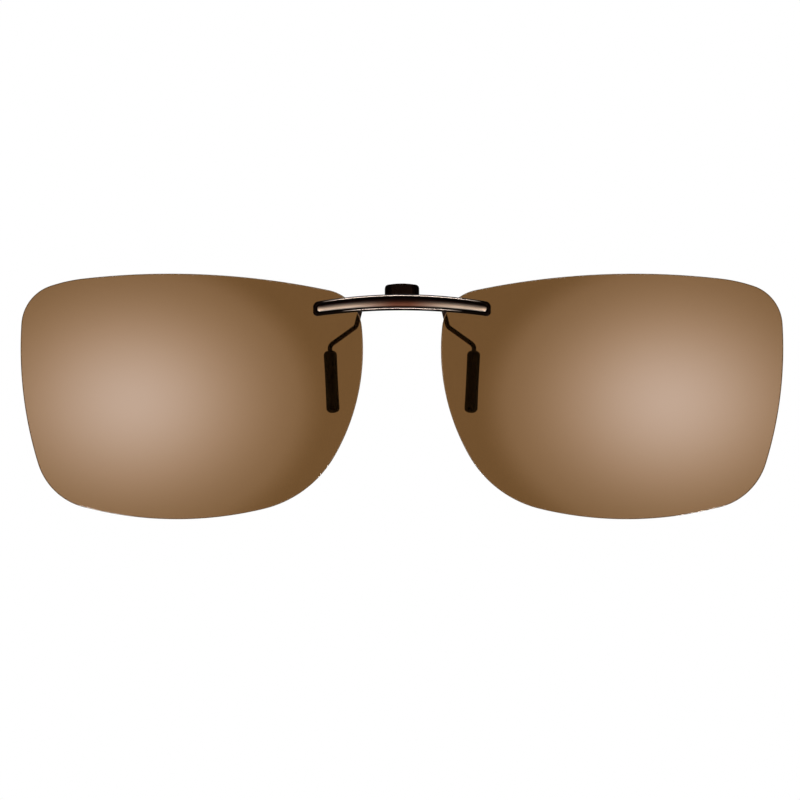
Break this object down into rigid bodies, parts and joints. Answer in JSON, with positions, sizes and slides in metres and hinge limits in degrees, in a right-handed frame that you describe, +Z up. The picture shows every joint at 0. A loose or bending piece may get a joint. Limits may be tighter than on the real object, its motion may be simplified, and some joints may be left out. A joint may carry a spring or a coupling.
{
  "type": "clip-on sunglasses",
  "caption": "Rimless brown clip-on sunglasses: two tinted lenses on an arched metal bar with a sprung rear clip and rubber-sleeved grip arms.",
  "frame": {"origin": "middle of the bar's back face, on the plane of symmetry and at the height of the hinge pin", "axes": "+X to the wearer's left, +Y back towards the wearer's face, +Z up; the front of the lenses faces -Y"},
  "size_m": [0.1398, 0.0126, 0.0449],
  "materials": {
    "lens": "tinted, clear and polished",
    "bar": "brown plated, satin face and bright edges",
    "hardware": "dark brown plated gloss",
    "steel": "bright drawn steel",
    "rubber": "matt black",
    "silicone": "clear and soft"
  },
  "bodies": {
    "front": {"bridge_bar": "bar", "hinge_bracket": "hardware", "hinge_pin": "steel", "torsion_spring": "steel", "lens_left": "lens", "lens_pad_left": "silicone", "lens_gasket_left": "silicone", "clamp_plate_left": "hardware", "lens_bushing_left_inner": "silicone", "lens_screw_left_inner": "steel", "lens_bushing_left_outer": "silicone", "lens_screw_left_outer": "steel", "lens_right": "lens", "lens_pad_right": "silicone", "lens_gasket_right": "silicone", "clamp_plate_right": "hardware", "lens_bushing_right_inner": "silicone", "lens_screw_right_inner": "steel", "lens_bushing_right_outer": "silicone", "lens_screw_right_outer": "steel"},
    "clip_arm": {"clip_lever": "hardware", "arm_wire_left": "hardware", "grip_sleeve_left": "rubber", "arm_wire_right": "hardware", "grip_sleeve_right": "rubber"}
  },
  "joints": [
    {"name": "clip_hinge", "type": "hinge", "parent": "front", "child": "clip_arm", "pos_m": [0, 0.0026, 0], "axis": [1, 0, 0], "range_deg": [0, 35], "stiffness_Nm_per_rad": 0.03, "springref_deg": -20.05, "deforming": ["torsion_spring"]}
  ]
}
